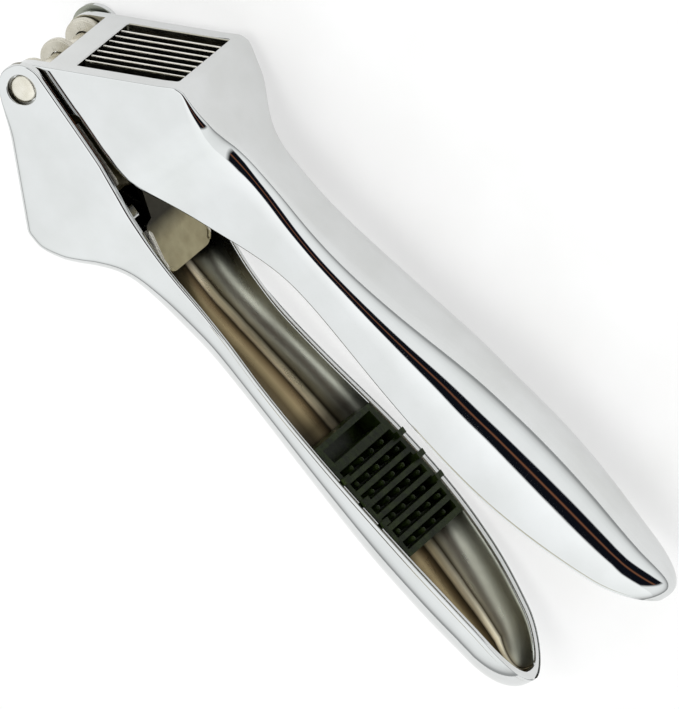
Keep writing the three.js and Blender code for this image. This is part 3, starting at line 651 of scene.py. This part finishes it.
def knuckle(middle):
    """A ring round the rivet with rounded rims."""
    low, high, edge = middle - KNUCKLE_WIDTH / 2, middle + KNUCKLE_WIDTH / 2, 0.5
    rim = [(KNUCKLE_RADIUS - edge * (1 - math.sin(a)), low + edge * (1 - math.cos(a)))
           for a in np.radians(np.linspace(0, 90, 6))]
    top = [(r, low + high - z) for r, z in rim[::-1]]
    return turned("knuckle", [(0, low), *rim, *top, (0, high)], sides=96)


def leaf_plan():
    """What the plunger's plate covers when seen from above, as a tall prism."""
    corner = arc(TAB_CORNER, 90, 0, 14, (TAB_TIP - TAB_CORNER, TAB_HALF - TAB_CORNER))
    half = [(-6, BLOCK_HALF), (13.6, BLOCK_HALF), (13.6, LEAF_HALF), (30.4, LEAF_HALF), (33, NECK_HALF),
            (TAB_START - 1.4, NECK_HALF), (TAB_START - 0.6, TAB_HALF - 0.4), (TAB_START + 0.2, TAB_HALF),
            *corner]
    outline = half + [(x, -z) for x, z in half[::-1]]
    return loft("leaf_plan", [[(x, y, MID + z) for x, z in outline] for y in (-30, 30)])


def slicing_wedge(low):
    """Side view of the wedge above the leaf, which presses through the blades."""
    start = math.degrees(math.asin(low / BLOCK_REACH))
    stop = math.degrees(WINDOW_SLOPE + math.asin(BLOCK_FACE / BLOCK_REACH))
    return [(8, low), *arc(BLOCK_REACH, start, stop, 30), window_point(10, BLOCK_FACE)]


def mincing_wedge(low):
    """Side view of the wedge below the leaf, which presses through the sieve."""
    start = math.degrees(SIEVE_SLOPE - math.asin(POCKET_FACE / POCKET_REACH))
    stop = math.degrees(math.asin(low / POCKET_REACH))
    return [sieve_point(4.5, POCKET_FACE), *arc(POCKET_REACH, start, stop, 24), (5, low + 0.1)]


def ear_clearance():
    """Side view of the room that the slicing handle's ears need."""
    ear = HOPPER_EAR + EAR_CLEARANCE
    foot = EAR_FOOT + 2 * EAR_CLEARANCE
    return [(1.5, 10.9), window_point(4.45, WINDOW_OFFSET - 0.1), *arc(ear, 150, 330, 40),
            (foot, HOPPER_SHOULDER), (foot, 12)]


# ---------- rivet, sieve and blades ----------
def rivet_piece():
    """A rod with a low dome at each end, mirrored across the middle plane."""
    reach, seat = MID - 0.12, MID - RECESS_DEPTH + GAP
    brim = seat + 0.25
    dome = [(RIVET_HEAD * math.sin(a), brim + (reach - brim) * math.cos(a))
            for a in np.radians(np.linspace(0, 84, 13))]
    top = [*dome, (RIVET_HEAD, seat + 0.06), (RIVET_HEAD - 0.06, seat), (RIVET_RADIUS, seat)]
    profile = [(r, MID - z) for r, z in top] + [(r, MID + z) for r, z in top[::-1]]
    return turned("rivet", profile, sides=96)


def grid_places(row_pitch):
    """Rows along u and spread across v, with four and five in a row by turns."""
    for row in range(GRID_ROWS):
        count = 5 if row % 2 else 4
        for i in range(count):
            yield (row - (GRID_ROWS - 1) / 2) * row_pitch, (i - (count - 1) / 2) * HOLE_SPREAD


def sieve_piece():
    """A square of sheet with flared holes."""
    thickness, flare = 1.0, 0.22
    ledge = (SIEVE_SIDE - SIEVE_OPENING) / 2
    plate = slab("sieve", sieve_point, SIEVE_START - ledge, SIEVE_START + SIEVE_OPENING + ledge,
                 SIEVE_OUT, SIEVE_OUT + thickness, SIEVE_SIDE / 2)
    middle = SIEVE_START + SIEVE_OPENING / 2
    bend = np.radians([80, 55, 28, 0])
    inner = [(SIEVE_OUT + flare * (1 - math.sin(a)), SIEVE_HOLE + flare * (1 - math.cos(a))) for a in bend]
    outer = [(2 * SIEVE_OUT + thickness - out, radius) for out, radius in inner[::-1]]
    levels = [(SIEVE_OUT - 1, inner[0][1]), *inner, *outer, (SIEVE_OUT + thickness + 1, outer[-1][1])]
    drills = []
    for u, v in grid_places(HOLE_PITCH):
        rings = [[(*sieve_point(middle + u + du, out), MID + v + dv) for du, dv in full_circle(radius, 48)]
                 for out, radius in levels]
        drills.append(loft("drill", rings))
    return cut_away(plate, together("drills", drills))


def together(name, parts):
    """Separate closed meshes that don't touch, as one object."""
    bm = bmesh.new()
    for part in parts:
        bm.from_mesh(part.data)
        bpy.data.objects.remove(part)
    mesh = bpy.data.meshes.new(name)
    bm.to_mesh(mesh)
    bm.free()
    return new_object(name, mesh)


def blade_piece(offset):
    """A strip of sheet with its outer edge ground on both sides."""
    ground, edge = 0.55, 0.07
    middle, reach = WINDOW_START + WINDOW_LENGTH / 2, WINDOW_LENGTH / 2 - GAP
    section = [(-BLADE_HALF, BLADE_LOW), (BLADE_HALF, BLADE_LOW), (BLADE_HALF, BLADE_HIGH - ground),
               (edge, BLADE_HIGH), (-edge, BLADE_HIGH), (-BLADE_HALF, BLADE_HIGH - ground)]
    return loft("blade", [[(*window_point(middle + u, out), MID + offset + v) for v, out in section]
                          for u in (-reach, reach)])


# ---------- cleaning pad stored in the mincing handle ----------
def rim_at(x):
    """Height of the mincing handle's rim."""
    return float(mincer_form.mouth(x))


def trough_half(x):
    """Half the room between the mincing handle's walls."""
    return float(mincer_form.half(x) - mincer_form.wall(x))


def pad_piece():
    """The trough's own shape, cut to a band below the rims, with grooves, a bay, pins and clips."""
    roomy = [(*row[:WALL], row[WALL] + GAP + 0.1) for row in MINCER]
    form = Casting(roomy, -1, EAR_RADIUS, 0, 0, (30, 48), lambda x: 3.0 + 0 * x, 1.0)
    x = np.linspace(TRAY_START - 3, TRAY_END + 3, 48)
    filled = loft("pad", mirrored_rings(x, form.hollow(x)))
    x = np.linspace(TRAY_START, TRAY_END, 24)
    low, high = 1, 2 * MID - 1
    band = loft("band", [[(a, rim - TRAY_DEPTH, low), (a, rim - TRAY_SINK, low), (a, rim - TRAY_SINK, high),
                          (a, rim - TRAY_DEPTH, high)] for a, rim in zip(x, mincer_form.mouth(x))])
    cuts = []
    for i in range(RIB_COUNT - 1):
        start = RIB_FIRST + i * RIB_PITCH + RIB_WIDTH / 2
        stop = start + RIB_PITCH - RIB_WIDTH
        reach, floor = trough_half(start) - TRAY_BORDER, rim_at(start) - GROOVE_DEPTH
        cuts.append(box("groove", start, stop, floor, floor + 7, MID - reach, MID + reach))
    floor = rim_at(TRAY_START) - BAY_DEPTH
    cuts.append(box("bay", TRAY_START + 1.4, RIB_FIRST - 1.6, floor, floor + 9, MID - 12, MID + 12))
    carved = cut_away(combined(filled, [band], "INTERSECT"), *cuts)
    middle = RIB_FIRST + (RIB_COUNT - 1) / 2 * RIB_PITCH
    pins = together("pins", [cleaning_pin(middle + u, MID + v) for u, v in grid_places(RIB_PITCH)])
    clips = [clip(x, way, trough_half(x)) for x in CLIP_PLACES for way in (-1, 1)]
    return joined(carved, pins, *clips)


def cleaning_pin(x, z):
    """A tapered peg with a domed top, standing across the handle."""
    foot = rim_at(x) - 2.1 - PIN_HEIGHT / 2
    dome = PIN_RADIUS * 0.8
    shoulder = foot + PIN_HEIGHT - dome
    levels = [(foot, PIN_RADIUS), (shoulder, dome)]
    levels += [(shoulder + dome * math.sin(a), dome * math.cos(a)) for a in np.radians([20, 40, 60, 78])]
    return loft("pin", [[(x + dx, y, z + dz) for dx, dz in full_circle(radius, 24)] for y, radius in levels])


def clip(x, way, inner):
    """A lug that rests on the handle's rim and stops the pad from dropping in."""
    rim, half, inboard = rim_at(x), 0.75, inner - 2.2
    top = rim + 1.0
    over = sorted((MID + way * inboard, MID + way * (inner + 0.9)))
    root = sorted((MID + way * inboard, MID + way * (inner - 0.5)))
    return joined(box("clip", x - half, x + half, rim + 0.35, top, *over),
                  box("root", x - half, x + half, rim - 2, top, *root))


# ---------- shader nodes ----------
def mapped(tree, value, source, target=(0, 1), clamp=True):
    """A value moved from one range to another."""
    node = tree.nodes.new("ShaderNodeMapRange")
    node.clamp = clamp
    node.inputs["From Min"].default_value, node.inputs["From Max"].default_value = source
    node.inputs["To Min"].default_value, node.inputs["To Max"].default_value = target
    tree.links.new(value, node.inputs["Value"])
    return node.outputs["Result"]


def ratio(tree, value, divisor):
    node = tree.nodes.new("ShaderNodeMath")
    node.operation = "DIVIDE"
    tree.links.new(value, node.inputs[0])
    tree.links.new(divisor, node.inputs[1])
    return node.outputs["Value"]


def component(tree, vector, axis):
    node = tree.nodes.new("ShaderNodeSeparateXYZ")
    tree.links.new(vector, node.inputs["Vector"])
    return node.outputs[axis]


def vector_math(tree, operation, first, second):
    """An operation on two colors or directions. Either is a socket or a tuple."""
    node = tree.nodes.new("ShaderNodeVectorMath")
    node.operation = operation
    for value, socket in zip((first, second), node.inputs):
        if isinstance(value, tuple):
            socket.default_value = value
        else:
            tree.links.new(value, socket)
    return node.outputs["Value" if operation == "DOT_PRODUCT" else "Vector"]


def color_ramp(tree, value, stops):
    """Colors at places from 0 to 1."""
    node = tree.nodes.new("ShaderNodeValToRGB")
    tree.links.new(value, node.inputs["Fac"])
    for element, (place, color) in zip(node.color_ramp.elements, (stops[0], stops[-1])):
        element.position, element.color = place, (*color, 1)
    for place, color in stops[1:-1]:
        node.color_ramp.elements.new(place).color = (*color, 1)
    return node.outputs["Color"]


def color_scale(tree, value, stops, source=None):
    """Colors at given places of a value, or at places whose first and last stand for the source range."""
    start, stop = stops[0][0], stops[-1][0]
    shares = [((place - start) / (stop - start), color) for place, color in stops]
    return color_ramp(tree, mapped(tree, value, source or (start, stop)), shares)


def lengthwise(tree, places, stops):
    """Colors along the handle, at x in hinge millimetres."""
    ends = [in_frame(stops[i][0], 0, 0).x for i in (0, -1)]
    return color_scale(tree, component(tree, places, "X"), stops, ends)


def crosswise(tree, places, stops):
    """Colors across the mincing handle's trough, at shares of its half width from its middle."""
    stations = np.linspace(50, mincer_form.tip - 3.5, 16)
    widths = mincer_form.half(stations, mincer_form.wall(stations)) / MID
    half = lengthwise(tree, places, [(float(x), [float(width)] * 3) for x, width in zip(stations, widths)])
    height = mapped(tree, component(tree, places, "Z"), (0, 2 * MID * MM), (-1, 1), clamp=False)
    return color_scale(tree, ratio(tree, height, half), stops)


# ---------- materials ----------
def surface(name, dark, light, metallic, gloss, relief, scale=400, stretch=(1, 1, 1), shade=(),
            across=(), specular=0.3):
    """A material with a mottled colour, an uneven gloss and two sizes of relief.

    scale is the number of mottles in a metre, and relief the heights of the wide and the fine relief in
    metres. stretch packs the gloss and the fine relief closer along an axis. shade paints shade along the
    handle: it darkens the colour by pairs of x in hinge millimetres and brightness. across paints light
    and dark reflection streaks and a tint across the trough, as crosswise() says.
    """
    material = bpy.data.materials.new(name)
    material.use_nodes = True
    tree = material.node_tree
    shader = tree.nodes["Principled BSDF"]
    shader.inputs["Metallic"].default_value = metallic
    shader.inputs["Specular IOR Level"].default_value = specular
    places = tree.nodes.new("ShaderNodeTexCoord").outputs["Object"]
    mapping = tree.nodes.new("ShaderNodeMapping")
    mapping.inputs["Scale"].default_value = stretch
    tree.links.new(places, mapping.inputs["Vector"])
    stretched = mapping.outputs["Vector"]

    def noise(size, detail, source):
        node = tree.nodes.new("ShaderNodeTexNoise")
        node.inputs["Scale"].default_value = size
        node.inputs["Detail"].default_value = detail
        tree.links.new(source, node.inputs["Vector"])
        return node.outputs["Fac"]

    color = color_ramp(tree, noise(scale, 3, places), [(0.35, dark), (0.65, light)])
    # painted shade along the handle
    if shade:
        levels = lengthwise(tree, places, [(x, [level] * 3) for x, level in shade])
        color = vector_math(tree, "MULTIPLY", color, levels)
    # painted reflection streaks and a tint across the trough
    if across:
        color = vector_math(tree, "MULTIPLY", color, crosswise(tree, places, across))
    tree.links.new(color, shader.inputs["Base Color"])
    polish = mapped(tree, noise(scale * 1.7, 4, stretched), (0.3, 0.7), gloss)
    tree.links.new(polish, shader.inputs["Roughness"])
    below = None
    for height, size, source in zip(relief, (scale * 0.35, scale * 5), (places, stretched)):
        bump = tree.nodes.new("ShaderNodeBump")
        bump.inputs["Distance"].default_value = height
        tree.links.new(noise(size, 2, source), bump.inputs["Height"])
        if below:
            tree.links.new(below, bump.inputs["Normal"])
        below = bump.outputs["Normal"]
    tree.links.new(below, shader.inputs["Normal"])
    return material


CHROME = surface("polished_chrome", (0.645, 0.655, 0.65), (0.68, 0.69, 0.69), 1, (0.025, 0.06), (6e-5, 6e-7),
                 scale=90, stretch=(1, 4, 4))
INNER = surface("dull_chrome_inside", (0.40, 0.38, 0.30), (0.47, 0.45, 0.38), 1, (0.2, 0.27), (1e-5, 4e-7),
                scale=110, stretch=(0.3, 2, 2))
# Painted shade: the pocket in the head and the stretch under the pad are darkened. across paints a light
# reflection streak and dark reflection lines, over a tint that is brownish and grey-green across the trough.
TROUGH = surface("dull_chrome_trough_painted_light", (0.90, 0.89, 0.84), (1.0, 0.99, 0.95), 1, (0.26, 0.34), (1e-5, 4e-7),
                 scale=110, stretch=(0.3, 2, 2),
                 shade=((2, 0.6), (8, 0.25), (34, 0.16), (54, 0.03), (62, 0.8), (70, 1), (98, 1), (104, 0.3),
                        (138, 0.4), (143, 1)),
                 across=(
                     (-1, (0.52, 0.54, 0.48)), (-0.84, (0.5, 0.5, 0.43)), (-0.74, (0.36, 0.33, 0.25)),
                     (-0.69, (0.04, 0.028, 0.016)), (-0.63, (1, 0.92, 0.74)), (-0.56, (0.95, 0.82, 0.6)),
                     (-0.51, (0.05, 0.035, 0.02)), (-0.43, (0.2, 0.145, 0.08)), (-0.3, (0.36, 0.29, 0.17)),
                     (-0.1, (0.13, 0.1, 0.055)), (0.3, (0.25, 0.21, 0.14)), (1, (0.35, 0.33, 0.27)),
                 ))
# Painted shade darkens the plunger's wedges and, much more, its neck down between the handles.
SATIN = surface("satin_nickel_plate_painted_shade", (0.33, 0.29, 0.175), (0.40, 0.36, 0.225), 1, (0.28, 0.4), (2e-5, 6e-6),
                scale=260,
                shade=((5, 1), (8, 0.6), (31, 0.6), (33.5, 0.12), (42.5, 0.08), (47.5, 0.95), (56, 1)))
# A lighter copy of the satin nickel: a painted highlight on the knuckles and the leaf's edges.
SATIN_HIGHLIGHT = surface("satin_nickel_painted_highlight", (0.54, 0.51, 0.43), (0.64, 0.61, 0.53), 0.6, (0.2, 0.3),
                     (1e-5, 4e-6), scale=300)
# Brighter still: a painted highlight along the thumb tab's beads.
BEAD_HIGHLIGHT = surface("nickel_bead_painted_highlight", (0.80, 0.77, 0.68), (0.92, 0.89, 0.80), 0.35, (0.2, 0.3),
                    (1e-5, 4e-6), scale=300)
RIVET = surface("satin_rivet_steel", (0.66, 0.63, 0.54), (0.74, 0.71, 0.63), 1, (0.2, 0.3), (1e-5, 2e-6),
                scale=500)
STEEL = surface("bright_stainless", (0.72, 0.70, 0.64), (0.82, 0.80, 0.75), 1, (0.1, 0.2), (8e-6, 2e-6),
                scale=300, stretch=(1, 1, 6))
# Near black steel: painted shade on the blades' sides, so the gaps between the blades look dark.
SHADED_BLADE_SIDES = surface("blade_sides_painted_shade", (0.03, 0.03, 0.028), (0.06, 0.06, 0.055), 1, (0.3, 0.4), (8e-6, 2e-6),
                     scale=300)
OLIVE = surface("olive_plastic", (0.007, 0.012, 0.003), (0.021, 0.034, 0.006), 0, (0.22, 0.36), (2e-5, 8e-6),
                scale=350, specular=0.1)
SHARP_EDGE, BEVELLED_EDGE = math.radians(32), math.radians(35)


def finished(obj, body, slot, materials, *nodes, bevel=0.0):
    """Puts a made piece in the frame, on its body, for the CAD nodes that it stands for."""
    obj.data.transform(TO_FRAME)
    obj.data.shade_smooth()
    obj.data.set_sharp_from_angle(angle=SHARP_EDGE)
    softened_edges(obj, bevel)
    which = np.empty(len(obj.data.polygons), np.int32)
    obj.data.polygons.foreach_get("material_index", which)
    obj.data.materials.clear()
    for material in materials:
        obj.data.materials.append(material)
    obj.data.polygons.foreach_set("material_index", which)
    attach(obj, body)
    if nodes:
        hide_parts(*nodes)
    return obj


def softened_edges(obj, width):
    """A small rounding on every sharp edge, width in millimetres."""
    if width:
        bevel = obj.modifiers.new("edges", "BEVEL")
        bevel.width, bevel.segments = width * MM, 3
        bevel.limit_method, bevel.angle_limit = "ANGLE", BEVELLED_EDGE
        bevel.harden_normals = False
    weighted = obj.modifiers.new("normals", "WEIGHTED_NORMAL")
    weighted.keep_sharp = not width


def mark_inside(obj, form):
    """The second material goes on the faces that look in towards the middle of the handle's mouth."""
    mesh = obj.data
    count = len(mesh.polygons)
    centres, normals = np.empty(count * 3), np.empty(count * 3)
    mesh.polygons.foreach_get("center", centres)
    mesh.polygons.foreach_get("normal", normals)
    centres, normals = centres.reshape(-1, 3), normals.reshape(-1, 3)
    x, y, z = centres.T
    aim, facing, rim = 2.0, 0.4, 0.5
    to_middle = np.stack([form.mouth(x) + form.way * aim - y, MID - z], 1)
    inward = (to_middle * normals[:, 1:]).sum(1) > facing
    below_rim = (y - form.mouth(x)) * form.way > rim
    mesh.polygons.foreach_set("material_index", (inward & below_rim).astype(np.int32))


def mark_painted_highlights(obj):
    """The plunger's second material, a painted highlight, goes on its knuckles and the leaf's edges, and its
    third, a brighter painted highlight, on the beads.
    """
    for face in obj.data.polygons:
        x, out = face.center.x, abs(face.center.z - MID)
        on_bead = x > TAB_START and out > TAB_HALF - 1.3
        on_leaf_edge = out > LEAF_HALF - 0.5 and face.center.y > LEAF_TOP - LEAF_THICKNESS
        face.material_index = 2 * on_bead or int(x < KNUCKLE_RADIUS or on_leaf_edge)


def mark_sides(obj):
    """A blade's second material, painted shade, goes on its sides."""
    for face in obj.data.polygons:
        face.material_index = int(abs(face.normal.z) > 0.99)


mincer = mincer_casting()
# The mincing handle's inside faces get the trough's painted shade and painted reflection streaks.
mark_inside(mincer, mincer_form)
finished(mincer, "mincing_body", "chrome", [CHROME, TROUGH], "mincer_handle")
slicer = slicer_casting()
mark_inside(slicer, slicer_form)
finished(slicer, "slicing_body", "chrome", [CHROME, INNER], "slicer_handle")
plunger = plunger_piece()
mark_painted_highlights(plunger)
# The plunger has painted shade on its wedges and neck, and painted highlights on its knuckles, leaf edges and
# beads.
finished(plunger, "plunger_body", "satin_nickel", [SATIN, SATIN_HIGHLIGHT, BEAD_HIGHLIGHT], "plunger", bevel=0.4)
finished(rivet_piece(), "mincing_body", "satin_nickel", [RIVET], "hinge_rivet")
finished(sieve_piece(), "mincing_body", "stainless", [STEEL], "sieve_plate")
for i in range(BLADE_COUNT):
    strip = blade_piece((i - (BLADE_COUNT - 1) / 2) * BLADE_PITCH)
    # the blades' sides get painted shade
    mark_sides(strip)
    finished(strip, "slicing_body", "stainless", [STEEL, SHADED_BLADE_SIDES], f"slicing_blade_{i + 1}")
finished(pad_piece(), "cleaner_body", "olive_plastic", [OLIVE], "cleaning_pad", bevel=0.16)
blade_frame = frame["nodes"]["blade_frame"]
blade_frame.data.materials.clear()
blade_frame.data.materials.append(STEEL)
softened_edges(blade_frame, 0.15)


# ---------- floor, light and surroundings ----------
FLOOR_GLOW = 0.55                         # the floor is a light table, so shadows on it stay pale


def make_floor():
    size, below = 3, 0.0002
    corners = [(-size, -size, 0), (size, -size, 0), (size, size, 0), (-size, size, 0)]
    mesh = bpy.data.meshes.new("floor")
    mesh.from_pydata(corners, [], [(0, 1, 2, 3)])
    floor = new_object("floor", mesh)
    floor.location.z = -below
    pale = surface("pale_floor", (0.40, 0.40, 0.395), (0.43, 0.43, 0.43), 0, (0.6, 0.7), (1e-5, 1e-6),
                   scale=40)
    shader = pale.node_tree.nodes["Principled BSDF"]
    shader.inputs["Emission Color"].default_value = (1, 1, 1, 1)
    shader.inputs["Emission Strength"].default_value = FLOOR_GLOW
    floor.data.materials.append(pale)


def make_light():
    """A wide, weak sun for the shadow, which the chrome doesn't mirror."""
    lamp = bpy.data.lights.new("softbox", "SUN")
    lamp.energy, lamp.angle = 0.7, math.radians(40)
    lamp.color = (1, 0.98, 0.95)
    light = bpy.data.objects.new("softbox", lamp)
    bpy.context.scene.collection.objects.link(light)
    light.rotation_euler = Vector((-0.1, 0.05, 1)).to_track_quat("Z", "Y").to_euler()
    light.visible_glossy = False


NO_LIGHT, WHITE = (0, 0, 0), (1, 1, 1)
GREY = (0.85, 0.85, 0.85)                 # the studio away from the light beside the bar
DARK, WARM = (0.004, 0.005, 0.008), (0.2, 0.08, 0.04)
HORIZON = (0.32, 0.33, 0.33)
STUDIO_STRENGTH = 1.4
SKY = [                                   # by the sine of the elevation
    (-1, (0.8, 0.8, 0.8)), (-0.02, (0.7, 0.71, 0.71)), (0, HORIZON), (0.06, HORIZON),
    (0.16, (0.66, 0.67, 0.67)), (0.28, (0.84, 0.86, 0.86)), (0.44, (0.93, 0.95, 0.95)), (1, (0.98, 0.995, 1)),
]
BAR = [                                   # across the dark bar, in half widths from its middle
    (-8, GREY), (-3.56, GREY), (-1.192, WHITE), (-1, DARK), (-0.192, DARK), (0, WARM), (0.192, DARK),
    (1, DARK), (1.192, GREY), (8, GREY),
]
BAR_END = [(-1, WHITE), (-0.8, WHITE), (-0.68, NO_LIGHT), (1, NO_LIGHT)]          # along the handles
BAR_BACK = [(0, WHITE), (0.5, WHITE), (0.6, NO_LIGHT), (1, NO_LIGHT)]             # towards the camera
BAR_WIDTH = (0.13, 0.3)                   # half the bar's width towards the hinge and towards the tips


def make_world():
    """A white studio, darker at the horizon, with a dark bar where the camera and its stand are.

    The bar lies along the handles. It ends towards the hinge and behind the press.
    """
    world = bpy.data.worlds.new("studio")
    bpy.context.scene.world = world
    world.use_nodes = True
    tree = world.node_tree
    directions = tree.nodes.new("ShaderNodeTexCoord").outputs["Generated"]

    def towards(x, y, z):
        return vector_math(tree, "DOT_PRODUCT", directions, (x, y, z))

    lengthways = towards(1, 0, 0)
    sideways = towards(*VIEW_BACK.cross(Vector((1, 0, 0))).normalized())
    share = ratio(tree, sideways, mapped(tree, lengthways, (-0.4, 0.4), BAR_WIDTH))
    across = color_scale(tree, share, BAR)
    at_end = color_scale(tree, lengthways, BAR_END)
    behind = color_scale(tree, towards(*VIEW_BACK), BAR_BACK)
    beyond = vector_math(tree, "MULTIPLY", vector_math(tree, "MAXIMUM", at_end, behind), GREY)
    sky = color_scale(tree, towards(0, 0, 1), SKY)
    color = vector_math(tree, "MULTIPLY", vector_math(tree, "MAXIMUM", across, beyond), sky)
    background = tree.nodes["Background"]
    tree.links.new(color, background.inputs["Color"])
    background.inputs["Strength"].default_value = STUDIO_STRENGTH


make_floor()
make_light()
make_world()
bpy.context.scene.view_settings.view_transform = "Standard"
